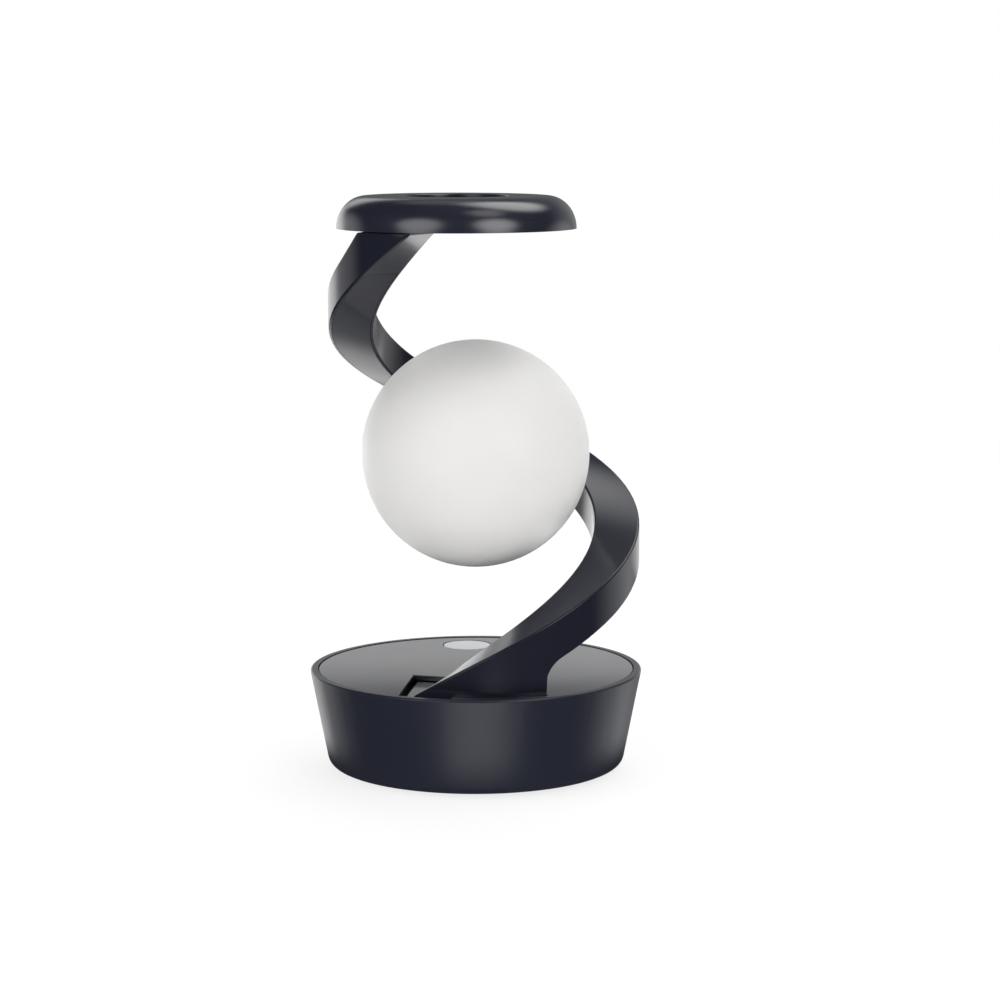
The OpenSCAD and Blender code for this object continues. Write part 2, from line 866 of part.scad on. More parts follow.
module arm_cable() {
    in_a = cable_hole_at + cable_bend;
    out_a = cable_out_at - cable_bend;
    color([0.9, 0.9, 0.9])
        swept(concat(
            [for (z = [deck_z - cable_tail, arm_under(cable_hole_at) + 2 * cable_r])
                cable_ring(cable_hole_at, z, 90)],
            [cable_ring(in_a, arm_z(in_a) - arm_h / 10, cable_bend_lean)],
            [for (a = steps(cable_hole_at + cable_lay, cable_out_at - cable_lay))
                cable_ring(a, arm_z(a), cable_lay_lean)],
            [cable_ring(out_a, arm_z(out_a) + arm_h / 10, cable_bend_lean)],
            [for (z = [arm_top(cable_out_at) - 2 * cable_r, shelf_z + shelf_plate_t + cable_tail / 3])
                cable_ring(cable_out_at, z, 90)]));
}

// Quarter ellipse of the shelf's edge, drawn in by a wall
function shelf_edge(wall) =
    [for (i = [0 : 12])
        let (t = 90 * i / 12)
        [shelf_r - shelf_round + (shelf_round - wall) * cos(t), shelf_z + (shelf_h - wall) * sin(t)]];

module shelf_cap() {
    inner = [for (p = shelf_edge(shelf_wall)) if (p[1] > shelf_z + shelf_plate_t) p];
    inner_n = len(inner);
    color([0.14, 0.15, 0.18])
        translate(shelf_pos)
            difference() {
                union() {
                    rotate_extrude($fn = 180)
                        polygon(concat(
                            [[shelf_plate_r + fit, shelf_z]],
                            shelf_edge(0),
                            arc(recess_r + recess_edge, lamp_h - recess_edge, recess_edge, 90, 180),
                            [
                                [recess_r, pad_floor],
                                [0, pad_floor],
                                [0, coil_top],
                                [recess_r + shelf_wall, coil_top]
                            ],
                            [for (i = [inner_n - 1 : -1 : 0]) inner[i]],
                            [
                                [inner[0][0], shelf_z + shelf_plate_t],
                                [shelf_plate_r + fit, shelf_z + shelf_plate_t]
                            ]));
                    around(shelf_screw_out, shelf_screw_angles)
                        bar(shelf_post_r + screw_r / 2, shelf_z + shelf_plate_t, lamp_h - shelf_wall / 2);
                }
                around(shelf_screw_out, shelf_screw_angles)
                    bar(screw_r + hole_gap, shelf_z, lamp_h - 2 * shelf_wall);
            }
}

module shelf_plate() {
    color([0.14, 0.15, 0.18])
        difference() {
            translate(shelf_pos)
                union() {
                    bar(shelf_plate_r, shelf_z, shelf_z + shelf_plate_t);
                    around(backing_r - shelf_post_r, [0, 120, 240])
                        bar(shelf_post_r, shelf_z + shelf_plate_t, coil_top - coil_t - backing_t);
                }
            translate(shelf_pos)
                around(shelf_screw_out, shelf_screw_angles) {
                    bar(screw_free_r, shelf_z - over, shelf_z + shelf_plate_t + over);
                    bar(screw_head_r + fit, shelf_z - over, shelf_z + screw_head_h);
                }
            on_arm(fixing_at)
                bar(screw_free_r, shelf_z - over, shelf_z + shelf_plate_t + over);
            on_arm([cable_out_at])
                bar(cable_hole_r, shelf_z - over, shelf_z + shelf_plate_t + over);
        }
}

module shelf_pad() {
    color([0.05, 0.06, 0.06])
        translate(shelf_pos)
            bar(recess_r - fit, pad_floor, pad_floor + pad_t);
}

module shelf_screws() {
    color("silver")
        translate(shelf_pos)
            around(shelf_screw_out, shelf_screw_angles)
                translate([0, 0, shelf_z + screw_head_h])
                    screw(shelf_h / 2);
}

module shelf_fixings() {
    color("silver")
        on_arm(fixing_at)
            translate([0, 0, shelf_z + shelf_plate_t])
                mirror([0, 0, 1])
                    screw(shelf_plate_t + fixing_len);
}

module charge_coil() {
    color([0.72, 0.42, 0.2])
        translate(shelf_pos)
            ring(coil_in_r, coil_r, coil_top - coil_t, coil_top);
}

module coil_backing() {
    color([0.2, 0.2, 0.2])
        translate(shelf_pos)
            bar(backing_r, coil_top - coil_t - backing_t, coil_top - coil_t);
}

module hub_tube() {
    color([0.6, 0.6, 0.62])
        hub_frame()
            difference() {
                union() {
                    bar(tube_r, tube_start, hub_seat - hub_flange_t);
                    bar(hub_boss_r, hub_seat - hub_flange_t, hub_seat);
                    bar(hub_spigot_r, hub_seat, hub_end);
                }
                bar(tube_bore_d / 2, tube_start - over, hub_end + over);
            }
}

module hub_nut() {
    color("silver")
        hub_frame()
            difference() {
                rotate([0, 0, hub_slope])
                    translate([0, 0, hub_nut_at])
                        cylinder(r = hub_nut_r, h = hub_nut_t, $fn = 6);
                bar(hub_spigot_r + hole_gap, hub_nut_at - over, hub_nut_at + hub_nut_t + over);
            }
}

module hub_clip() {
    color("silver")
        hub_frame()
            ring(tube_r + hole_gap, tube_r + clip_w, clip_end - clip_t, clip_end);
}

module hub_lead() {
    color([0.9, 0.9, 0.9])
        hub_frame()
            bar(lead_r, led_face + led_t, hub_reach + arm_w / 2 - cable_r - free_gap);
}

module core_plate() {
    color([0.85, 0.85, 0.85])
        hub_frame()
            difference() {
                bar(core_r, core_face - core_t, core_face);
                bar(tube_r + hole_gap, core_face - core_t - over, core_face + over);
                translate([0, -gear_offset, 0])
                    bar(2 * shaft_r, core_face - core_t - over, core_face + over);
            }
}

module core_posts() {
    color("silver")
        hub_frame()
            for (a = post_angles)
                translate([post_out * cos(a), post_out * sin(a), 0])
                    bar(post_r, led_face + led_t, core_face - core_t);
}

module gear_motor() {
    back = core_face - core_t;
    color([0.65, 0.65, 0.67])
        hub_frame()
            translate([0, -gear_offset, 0])
                difference() {
                    bar(motor_r, back - motor_l, back);
                    bar(shaft_r + run_gap, back - shaft_in, back + over);
                }
}

module pinion() {
    back = core_face - core_t;
    color([0.9, 0.85, 0.7])
        hub_frame()
            translate([0, -gear_offset, 0]) {
                translate([0, 0, gear_start])
                    rotate([0, 0, -90])
                        linear_extrude(gear_w - free_gap)
                            gear_outline(pinion_teeth, 0.75 * tooth_m, root_share * tooth_m, tooth_play);
                bar(shaft_r, back - shaft_in + free_gap, gear_start);
            }
}

module led_board() {
    color([0.95, 0.95, 0.95])
        hub_frame()
            bar(led_r, led_face, led_face + led_t);
}

module led_chips() {
    color([0.95, 0.85, 0.4])
        hub_frame()
            for (i = [0 : led_count - 1])
                rotate([0, 0, 360 * i / led_count])
                    translate([led_ring - led_w / 2, -led_w / 2, led_face - led_h])
                        cube([led_w, led_w, led_h]);
}

module globe_shell() {
    color([0.91, 0.9, 0.89])
        hub_frame()
            difference() {
                sphere(r = globe_r, $fn = 180);
                sphere(r = globe_r - globe_wall, $fn = 180);
                bar(globe_hole_r, globe_r / 2, globe_r + over);
            }
}

module globe_collar() {
    face = hole_face + lip_t;
    color([0.88, 0.88, 0.87])
        hub_frame()
            difference() {
                union() {
                    bar(globe_hole_r - hole_gap, gear_start, hole_face);
                    bar(globe_hole_r + lip_w, hole_face, face);
                    bar(sleeve_r, face, sleeve_end);
                }
                translate([0, 0, gear_start - over])
                    linear_extrude(gear_w + 2 * over)
                        gear_outline(ring_teeth, root_share * tooth_m, 0.65 * tooth_m, -tooth_play);
                difference() {
                    bar(globe_hole_r - 2 * lip_t, gear_start + gear_w, face - collar_plate_t);
                    bar(sleeve_r, sleeve_start, face);
                }
                bar(tube_r + run_gap, gear_start - over, sleeve_end + over);
            }
}

base_shell();
bottom_cover();
rubber_feet();
cover_screws();
ballast_plate();
main_board();
board_chips();
board_screws();
usb_socket();
base_deck();
deck_screws();
top_panel();
power_key();
switch_plunger();
tact_switch();
switch_board();
switch_screws();
arm_flange();
arm_screws();
arm_shell();
arm_cover();
arm_cable();
shelf_cap();
shelf_plate();
shelf_pad();
shelf_screws();
shelf_fixings();
charge_coil();
coil_backing();
hub_tube();
hub_nut();
hub_clip();
hub_lead();
core_plate();
core_posts();
gear_motor();
pinion();
led_board();
led_chips();
globe_shell();
globe_collar();
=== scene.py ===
import json
import math

import bpy
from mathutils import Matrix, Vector

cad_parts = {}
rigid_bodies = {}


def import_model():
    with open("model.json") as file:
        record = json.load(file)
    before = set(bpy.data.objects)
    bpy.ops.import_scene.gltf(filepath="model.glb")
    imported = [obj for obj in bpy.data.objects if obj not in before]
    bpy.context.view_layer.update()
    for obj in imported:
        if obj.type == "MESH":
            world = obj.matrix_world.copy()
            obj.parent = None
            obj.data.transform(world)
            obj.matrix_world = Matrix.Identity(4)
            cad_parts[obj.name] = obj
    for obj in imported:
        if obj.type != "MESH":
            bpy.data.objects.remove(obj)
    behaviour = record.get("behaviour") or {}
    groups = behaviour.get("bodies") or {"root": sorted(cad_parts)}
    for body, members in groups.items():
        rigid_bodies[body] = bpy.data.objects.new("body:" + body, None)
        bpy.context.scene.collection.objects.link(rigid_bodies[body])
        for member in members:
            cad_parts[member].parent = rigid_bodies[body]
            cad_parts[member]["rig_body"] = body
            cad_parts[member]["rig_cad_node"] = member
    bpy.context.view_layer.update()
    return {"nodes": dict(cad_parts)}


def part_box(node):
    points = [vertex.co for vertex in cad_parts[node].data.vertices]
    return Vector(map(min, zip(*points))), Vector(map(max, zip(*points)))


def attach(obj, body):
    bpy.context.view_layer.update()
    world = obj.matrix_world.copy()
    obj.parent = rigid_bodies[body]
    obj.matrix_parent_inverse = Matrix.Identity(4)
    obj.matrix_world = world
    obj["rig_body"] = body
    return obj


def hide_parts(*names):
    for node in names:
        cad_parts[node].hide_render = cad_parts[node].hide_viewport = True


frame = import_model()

nodes = frame["nodes"]
print("frame loaded:", len(nodes), "nodes")


# material helpers

def addNode(tree, kind, values=None, **settings):
    node = tree.nodes.new(kind)
    for setting, value in settings.items():
        setattr(node, setting, value)
    for socket, value in (values or {}).items():
        node.inputs[socket].default_value = value
    return node


def startMaterial(name):
    made = bpy.data.materials.new(name)
    made.use_nodes = True
    tree = made.node_tree
    place = addNode(tree, "ShaderNodeTexCoord")
    return made, tree, tree.nodes["Principled BSDF"], place.outputs["Object"]


def addNoise(tree, place, scale, detail=2.0, roughness=0.5):
    noise = addNode(tree, "ShaderNodeTexNoise",
                    {"Scale": scale, "Detail": detail, "Roughness": roughness})
    tree.links.new(place, noise.inputs["Vector"])
    return noise.outputs["Fac"]


noiseMiddle = (0.3, 0.7)  # where most values of a noise lie
noiseWhole = (0.1, 0.9)  # nearly all of them


def addRange(tree, source, low, high, span=noiseMiddle):
    spread = addNode(tree, "ShaderNodeMapRange", {
        "From Min": span[0], "From Max": span[1], "To Min": low, "To Max": high})
    tree.links.new(source, spread.inputs["Value"])
    return spread.outputs["Result"]


def addTint(tree, source, first, second):
    tint = addNode(tree, "ShaderNodeMix", {"A": (*first, 1), "B": (*second, 1)},
                   data_type="RGBA")
    tree.links.new(source, tint.inputs["Factor"])
    return tint.outputs["Result"]


def addBump(tree, shader, source, strength, distance):
    bump = addNode(tree, "ShaderNodeBump", {"Strength": strength, "Distance": distance})
    tree.links.new(source, bump.inputs["Height"])
    tree.links.new(bump.outputs["Normal"], shader.inputs["Normal"])


# moulded plastic: fine grain, faint flow marks in the colour, uneven gloss
def mouldedPlastic(name, look):
    made, tree, shader, place = startMaterial(name)
    flow = addNoise(tree, place, look["flowScale"])
    light = tuple(min(1.0, c * (1 + look["flow"])) for c in look["color"])
    dark = tuple(c * (1 - look["flow"]) for c in look["color"])
    tree.links.new(addTint(tree, flow, dark, light), shader.inputs["Base Color"])
    gloss = addNoise(tree, place, look["glossScale"])
    low = look["roughness"] - look["glossSpread"]
    high = look["roughness"] + look["glossSpread"]
    tree.links.new(addRange(tree, gloss, low, high, noiseWhole), shader.inputs["Roughness"])
    shader.inputs["Specular IOR Level"].default_value = look["specular"]
    grain = addNoise(tree, place, look["grainScale"], roughness=look["grainRoughness"])
    addBump(tree, shader, grain, look["grain"], look["grainDepth"])
    return made


# metal with turned or drawn lines and a little unevenness
def lineMetal(name, look):
    made, tree, shader, place = startMaterial(name)
    squeeze = addNode(tree, "ShaderNodeMapping", {"Scale": look["stretch"]})
    tree.links.new(place, squeeze.inputs["Vector"])
    lines = addNoise(tree, squeeze.outputs["Vector"], look["lineScale"],
                     look["lineDetail"], look["lineRoughness"])
    patch = addNoise(tree, place, look["patchScale"])
    dark = tuple(c * look["patchShade"] for c in look["color"])
    tree.links.new(addTint(tree, patch, dark, look["color"]), shader.inputs["Base Color"])
    low, high = look["roughness"] - look["smoother"], look["roughness"] + look["rougher"]
    tree.links.new(addRange(tree, lines, low, high), shader.inputs["Roughness"])
    shader.inputs["Metallic"].default_value = 1.0
    addBump(tree, shader, lines, look["lines"], look["lineDepth"])
    return made


# rubber: matt, with a fine open grain
def softRubber(name, look):
    made, tree, shader, place = startMaterial(name)
    dust = addNoise(tree, place, look["dustScale"], look["dustDetail"])
    light = tuple(min(1.0, c * look["dustGain"] + look["dustLift"]) for c in look["color"])
    tree.links.new(addTint(tree, dust, look["color"], light), shader.inputs["Base Color"])
    tree.links.new(addRange(tree, dust, *look["roughness"]), shader.inputs["Roughness"])
    shader.inputs["Specular IOR Level"].default_value = look["specular"]
    grain = addNoise(tree, place, look["grainScale"])
    addBump(tree, shader, grain, look["grain"], look["grainDepth"])
    return made


# printed board: green lacquer over copper lines
def lacquerBoard(name, look):
    made, tree, shader, place = startMaterial(name)
    tracks = addNode(tree, "ShaderNodeTexBrick", {
        "Scale": look["scale"], "Mortar Size": look["lineWidth"],
        "Color1": (*look["first"], 1), "Color2": (*look["second"], 1),
        "Mortar": (*look["line"], 1)})
    tree.links.new(place, tracks.inputs["Vector"])
    tree.links.new(tracks.outputs["Color"], shader.inputs["Base Color"])
    shader.inputs["Roughness"].default_value = look["roughness"]
    addBump(tree, shader, tracks.outputs["Fac"], look["relief"], look["reliefDepth"])
    return made


# enamelled copper wire wound flat round the shelf's middle
def woundCopper(name, look, centre):
    made, tree, shader, place = startMaterial(name)
    middle = addNode(tree, "ShaderNodeMapping", {"Location": (-centre[0], -centre[1], 0)})
    tree.links.new(place, middle.inputs["Vector"])
    turns = addNode(tree, "ShaderNodeTexWave",
                    {"Scale": look["turnScale"], "Distortion": look["wobble"]},
                    wave_type="RINGS", rings_direction="Z")
    tree.links.new(middle.outputs["Vector"], turns.inputs["Vector"])
    # darker between the turns: painted shade in the grooves between the wires
    wire = addTint(tree, turns.outputs["Fac"], look["between"], look["color"])
    tree.links.new(wire, shader.inputs["Base Color"])
    shader.inputs["Metallic"].default_value = look["metallic"]
    shader.inputs["Roughness"].default_value = look["roughness"]
    addBump(tree, shader, turns.outputs["Fac"], look["relief"], look["reliefDepth"])
    return made


# frosted globe: white plastic that lets some light in under its skin
def frostedGlobe(name, look):
    made, tree, shader, place = startMaterial(name)
    cloud = addNoise(tree, place, look["cloudScale"])
    tree.links.new(addTint(tree, cloud, look["shade"], look["color"]),
                   shader.inputs["Base Color"])
    frost = addNoise(tree, place, look["frostScale"], look["frostDetail"])
    tree.links.new(addRange(tree, frost, *look["roughness"]), shader.inputs["Roughness"])
    shader.inputs["Specular IOR Level"].default_value = look["specular"]
    shader.inputs["Subsurface Weight"].default_value = look["under"]
    shader.inputs["Subsurface Radius"].default_value = (1.0, 1.0, 1.0)
    shader.inputs["Subsurface Scale"].default_value = look["underDepth"]
    grain = addNoise(tree, place, look["grainScale"], look["grainDetail"])
    addBump(tree, shader, grain, look["grain"], look["grainDepth"])
    return made


# looks: colours are linear, depths in metres, and a scale counts features to the metre
navyLook = {
    "color": (0.0155, 0.017, 0.0275), "flow": 0.06, "flowScale": 14.0,
    "roughness": 0.3, "glossScale": 55.0, "glossSpread": 0.03, "specular": 0.4,
    "grainScale": 1500.0, "grainRoughness": 0.6, "grain": 0.025, "grainDepth": 0.00003}
shelfLook = dict(navyLook, roughness=0.2, specular=1.0, grain=0.015)
armLook = dict(navyLook, color=(0.0118, 0.013, 0.0215), roughness=0.17)
# flange: a lighter copy of the arm plastic; the lighter colour is painted light, standing in
# for the light the facet in the notch catches
flangePaintedLightLook = dict(armLook, color=(0.075, 0.077, 0.084), roughness=0.15)
blackLook = dict(navyLook, color=(0.009, 0.009, 0.012), roughness=0.5, grain=0.12)
panelLook = {
    "color": (0.024, 0.026, 0.034), "flow": 0.04, "flowScale": 10.0,
    "roughness": 0.11, "glossScale": 30.0, "glossSpread": 0.02, "specular": 0.5,
    "grainScale": 900.0, "grainRoughness": 0.6, "grain": 0.015, "grainDepth": 0.00001}
# lens: a dark green-grey of its own, lifted lighter than that as a painted reflection of the
# light behind the lamp
lensLook = dict(
    panelLook, color=(0.03, 0.042, 0.04), flow=0.1, flowScale=40.0, roughness=0.12,
    glossScale=80.0, grainScale=1200.0, grain=0.02)
keyLook = {
    "color": (0.52, 0.53, 0.56), "flow": 0.05, "flowScale": 160.0,
    "roughness": 0.36, "glossScale": 120.0, "glossSpread": 0.04, "specular": 0.45,
    "grainScale": 2400.0, "grainRoughness": 0.6, "grain": 0.06, "grainDepth": 0.00002}
gearLook = dict(keyLook, color=(0.78, 0.7, 0.5), roughness=0.45)
ledLook = dict(keyLook, color=(0.85, 0.68, 0.16), roughness=0.25)
globeLook = {
    "color": (0.835, 0.824, 0.808), "shade": (0.805, 0.795, 0.778), "cloudScale": 16.0,
    "roughness": (0.39, 0.46), "frostScale": 60.0, "frostDetail": 3.0, "specular": 0.32,
    "under": 0.9, "underDepth": 0.004,
    "grainScale": 3200.0, "grainDetail": 1.0, "grain": 0.05, "grainDepth": 0.00002}
footLook = {
    "color": (0.012, 0.012, 0.013), "dustScale": 260.0, "dustDetail": 5.0,
    "dustGain": 1.25, "dustLift": 0.004, "roughness": (0.62, 0.85), "specular": 0.35,
    "grainScale": 2600.0, "grain": 0.35, "grainDepth": 0.00004}
cableLook = dict(footLook, color=(0.6, 0.6, 0.6))
steelLook = {
    "color": (0.62, 0.62, 0.64), "patchScale": 120.0, "patchShade": 0.86,
    "roughness": 0.3, "smoother": 0.08, "rougher": 0.1, "stretch": (1, 1, 12),
    "lineScale": 700.0, "lineDetail": 4.0, "lineRoughness": 0.7,
    "lines": 0.3, "lineDepth": 0.00003}
ironLook = dict(
    steelLook, color=(0.2, 0.2, 0.21), roughness=0.5, stretch=(1, 1, 1), lineScale=500.0)
aluminiumLook = dict(
    steelLook, color=(0.78, 0.78, 0.8), roughness=0.26, stretch=(1, 1, 10), lineScale=600.0)
boardLook = {
    "first": (0.012, 0.11, 0.045), "second": (0.015, 0.13, 0.055),
    "line": (0.03, 0.22, 0.09), "scale": 160.0, "lineWidth": 0.06,
    "roughness": 0.28, "relief": 0.25, "reliefDepth": 0.00003}
copperLook = {
    "color": (0.62, 0.24, 0.09), "between": (0.2, 0.06, 0.02), "turnScale": 420.0,
    "wobble": 0.4, "metallic": 0.9, "roughness": 0.32, "relief": 0.6,
    "reliefDepth": 0.00012}

shelfLow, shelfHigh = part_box("shelf_cap")
shelfCentre = (shelfLow + shelfHigh) / 2
finishes = {
    "navy": mouldedPlastic("navyPlastic", navyLook),
    "arm": mouldedPlastic("armPlastic", armLook),
    "flange": mouldedPlastic("flangePlastic", flangePaintedLightLook),
    "shelf": mouldedPlastic("shelfPlastic", shelfLook),
    "panel": mouldedPlastic("glossPanel", panelLook),
    "black": mouldedPlastic("blackPlastic", blackLook),
    "key": mouldedPlastic("keyPlastic", keyLook),
    "gear": mouldedPlastic("gearPlastic", gearLook),
    "led": mouldedPlastic("ledPlastic", ledLook),
    "lens": mouldedPlastic("lensPlastic", lensLook),
    "globe": frostedGlobe("frostedPlastic", globeLook),
    "foot": softRubber("footRubber", footLook),
    "cable": softRubber("cableRubber", cableLook),
    "steel": lineMetal("screwSteel", steelLook),
    "iron": lineMetal("ballastIron", ironLook),
    "aluminium": lineMetal("turnedAluminium", aluminiumLook),
    "board": lacquerBoard("boardLacquer", boardLook),
    "copper": woundCopper("woundCopper", copperLook, shelfCentre),
}
print("finishes made:", len(finishes))

nodesByFinish = {
    "navy": ("base_shell",),
    "arm": ("arm_shell", "arm_cover"),
    "flange": ("arm_flange",),
    "shelf": ("shelf_cap", "shelf_plate"),
    "panel": ("top_panel",),
    "black": ("bottom_cover", "board_chips", "base_deck", "switch_plunger"),
    "key": ("power_key",),
    "gear": ("pinion",),
    "led": ("led_chips",),
    "lens": ("shelf_pad",),
    "globe": ("globe_shell", "globe_collar"),
    "foot": ("rubber_feet",),
    "cable": ("arm_cable", "hub_lead"),
    "steel": ("cover_screws", "board_screws", "usb_socket", "deck_screws", "tact_switch",
              "switch_screws", "arm_screws", "shelf_screws", "shelf_fixings", "hub_nut",
              "hub_clip", "gear_motor"),
    "iron": ("ballast_plate", "coil_backing"),
    "aluminium": ("hub_tube", "core_plate", "core_posts", "led_board"),
    "board": ("main_board", "switch_board"),
    "copper": ("charge_coil",),
}
dressed = 0
for finish, nodeNames in nodesByFinish.items():
    for nodeName in nodeNames:
        nodes[nodeName].data.materials.clear()
        nodes[nodeName].data.materials.append(finishes[finish])
        dressed += 1
print("nodes dressed:", dressed)


# piece helpers: each works on the piece that joinedCopy left active and selected

joinGap = 0.000002  # points closer than this, in metres, become one
evenWeight = 100  # how far large faces lead the shading; 50 is neutral


# copy of a CAD node with its loose triangles joined
def joinedCopy(piece):
    bpy.ops.object.select_all(action="DESELECT")
    source = nodes[piece["node"]]
    source.select_set(True)
    bpy.context.view_layer.objects.active = source
    bpy.ops.object.duplicate()
    made = bpy.context.view_layer.objects.active
    made.name = piece["name"]
    made.data.name = piece["name"]
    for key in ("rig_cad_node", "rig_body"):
        if key in made:
            del made[key]
    made.parent = None
    bpy.ops.mesh.customdata_custom_splitnormals_clear()
    bpy.ops.object.mode_set(mode="EDIT")
    bpy.ops.mesh.select_all(action="SELECT")
    bpy.ops.mesh.remove_doubles(threshold=joinGap)
    bpy.ops.object.mode_set(mode="OBJECT")
    return made


def flatFaces(piece):
    bpy.ops.object.mode_set(mode="EDIT")
    bpy.ops.mesh.select_all(action="SELECT")
    bpy.ops.mesh.dissolve_limited(angle_limit=math.radians(piece["flat"]))
    bpy.ops.object.mode_set(mode="OBJECT")


def bevelEdges(made, piece):
    bevel = made.modifiers.new("edge", "BEVEL")
    bevel.width = piece["edge"]
    bevel.segments = piece["segments"]
    bevel.limit_method = "ANGLE"
    bevel.angle_limit = math.radians(piece["sharp"])
    bevel.use_clamp_overlap = True
    bpy.ops.object.modifier_apply(modifier="edge")


def smoothSides(made, piece):
    bpy.ops.object.shade_smooth_by_angle(angle=math.radians(piece["smooth"]))
    even = made.modifiers.new("even", "WEIGHTED_NORMAL")
    even.keep_sharp = True
    even.weight = evenWeight
    bpy.ops.object.modifier_apply(modifier="even")


def finishPiece(made, piece):
    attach(made, piece["body"])
    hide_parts(piece["node"])


# the whole course for a piece that needs nothing of its own
def makePiece(piece):
    made = joinedCopy(piece)
    if "flat" in piece:
        flatFaces(piece)
    if "edge" in piece:
        bevelEdges(made, piece)
    smoothSides(made, piece)
    finishPiece(made, piece)


# in the pieces' dictionaries angles are in degrees and edges in metres

# arm: the spiral, its closing strip and its cable shade evenly along their run
armSkin = {"node": "arm_shell", "name": "armSkin", "body": "lamp", "slot": "navy_plastic",
           "smooth": 50}
makePiece(armSkin)

armStrip = {"node": "arm_cover", "name": "armStrip", "body": "lamp", "slot": "navy_plastic",
            "smooth": 35}
makePiece(armStrip)

armLead = {"node": "arm_cable", "name": "armLead", "body": "lamp", "slot": "cable_rubber",
           "smooth": 60}
makePiece(armLead)
print("arm made")

# panel: its edges are broken so that they catch the light
panelDisc = {"node": "top_panel", "name": "panelDisc", "body": "lamp", "slot": "gloss_panel",
             "flat": 1, "edge": 0.00025, "segments": 3, "sharp": 50, "smooth": 40}
makePiece(panelDisc)

# key: a soft edge, and a middle that lies a little lower than its rim
keyCap = {"node": "power_key", "name": "keyCap", "body": "key", "slot": "key_plastic",
          "flat": 1, "edge": 0.0004, "segments": 3, "sharp": 60, "smooth": 40,
          "rimWidth": 0.0013, "slopeWidth": 0.0003, "dish": 0.00012,
          "upward": 0.9, "level": 0.00001}  # which faces are its top
keyMade = joinedCopy(keyCap)
flatFaces(keyCap)
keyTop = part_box(keyCap["node"])[1].z
bpy.ops.object.mode_set(mode="EDIT")
bpy.ops.mesh.select_all(action="DESELECT")
bpy.ops.object.mode_set(mode="OBJECT")
for face in keyMade.data.polygons:
    atTop = abs(face.center.z - keyTop) < keyCap["level"]
    face.select = atTop and face.normal.z > keyCap["upward"]
bpy.ops.object.mode_set(mode="EDIT")
bpy.ops.mesh.select_mode(type="FACE")
bpy.ops.mesh.inset(thickness=keyCap["rimWidth"], depth=0)
bpy.ops.mesh.inset(thickness=keyCap["slopeWidth"], depth=-keyCap["dish"])
bpy.ops.object.mode_set(mode="OBJECT")
bevelEdges(keyMade, keyCap)
smoothSides(keyMade, keyCap)
finishPiece(keyMade, keyCap)
print("panel and key made")

# shelf and base: their turned forms shade evenly
shelfCap = {"node": "shelf_cap", "name": "shelfCap", "body": "lamp", "slot": "navy_plastic",
            "flat": 0.3, "smooth": 32}
makePiece(shelfCap)

baseShell = {"node": "base_shell", "name": "baseShell", "body": "lamp", "slot": "navy_plastic",
             "flat": 0.3, "smooth": 32}
makePiece(baseShell)
print("shelf and base made")

# feet: their edges are rounded where they press on the table
footPads = {"node": "rubber_feet", "name": "footPads", "body": "lamp", "slot": "foot_rubber",
            "flat": 1, "edge": 0.0005, "segments": 3, "sharp": 60, "smooth": 40}
makePiece(footPads)

# pad in the shelf's recess: a dark lens with a broken edge
shelfLens = {"node": "shelf_pad", "name": "shelfLens", "body": "lamp", "slot": "foot_rubber",
             "flat": 1, "edge": 0.0004, "segments": 3, "sharp": 60, "smooth": 40}
makePiece(shelfLens)
print("feet and pad made")


# floor: to the camera most of its white is its own glow, and far off all of it, so that
# it runs into the white background. The rest takes the studio's light and keeps the
# shadow of the object. Reflections show only a dim ring of it close round the base: a
# painted contact shadow, a faint glow that stands in for the shade on the floor there
floorPiece = {
    "size": 6.0, "drop": 0.0001, "color": (0.86, 0.86, 0.86), "roughness": 0.9,
    "glow": 0.8, "fade": (0.2, 1.1),  # share of glow close by, and where it grows to 1
    # the dim ring is a painted contact shadow, seen only in reflections
    "ring": 0.03, "ringFade": (0.062, 0.08)}  # glow of the dim ring, and where it fades out


def floorMaterial(look):
    made, tree, shader, place = startMaterial("paleFloor")
    shader.inputs["Base Color"].default_value = (*look["color"], 1)
    shader.inputs["Roughness"].default_value = look["roughness"]
    shader.inputs["Specular IOR Level"].default_value = 0
    away = addNode(tree, "ShaderNodeVectorMath", operation="LENGTH")
    tree.links.new(place, away.inputs[0])
    distance = away.outputs["Value"]
    seen = addNode(tree, "ShaderNodeLightPath")
    glow = addNode(tree, "ShaderNodeEmission")
    share = addNode(tree, "ShaderNodeMath", operation="MULTIPLY")
    tree.links.new(seen.outputs["Is Camera Ray"], share.inputs[0])
    tree.links.new(addRange(tree, distance, look["glow"], 1.0, look["fade"]), share.inputs[1])
    lit = addNode(tree, "ShaderNodeMixShader")
    tree.links.new(share.outputs["Value"], lit.inputs["Fac"])
    tree.links.new(shader.outputs["BSDF"], lit.inputs[1])
    tree.links.new(glow.outputs["Emission"], lit.inputs[2])
    # glossy rays: a dim glow close round the base, a painted contact shadow, and clear floor
    # beyond it
    clear = addNode(tree, "ShaderNodeBsdfTransparent")
    paintedShadowGlow = addNode(tree, "ShaderNodeEmission", {"Strength": look["ring"]})
    ring = addNode(tree, "ShaderNodeMixShader")
    tree.links.new(addRange(tree, distance, 0.0, 1.0, look["ringFade"]), ring.inputs["Fac"])
    tree.links.new(paintedShadowGlow.outputs["Emission"], ring.inputs[1])
    tree.links.new(clear.outputs["BSDF"], ring.inputs[2])
    whole = addNode(tree, "ShaderNodeMixShader")
    tree.links.new(seen.outputs["Is Glossy Ray"], whole.inputs["Fac"])
    tree.links.new(lit.outputs["Shader"], whole.inputs[1])
    tree.links.new(ring.outputs["Shader"], whole.inputs[2])
    tree.links.new(whole.outputs["Shader"], tree.nodes["Material Output"].inputs["Surface"])
    return made


bpy.ops.mesh.primitive_plane_add(size=floorPiece["size"], location=(0, 0, -floorPiece["drop"]))
floor = bpy.context.object
floor.name = "floor"
floor.data.materials.append(floorMaterial(floorPiece))
floor.visible_diffuse = False  # light from below reaches the object through the floor
floor.visible_shadow = False

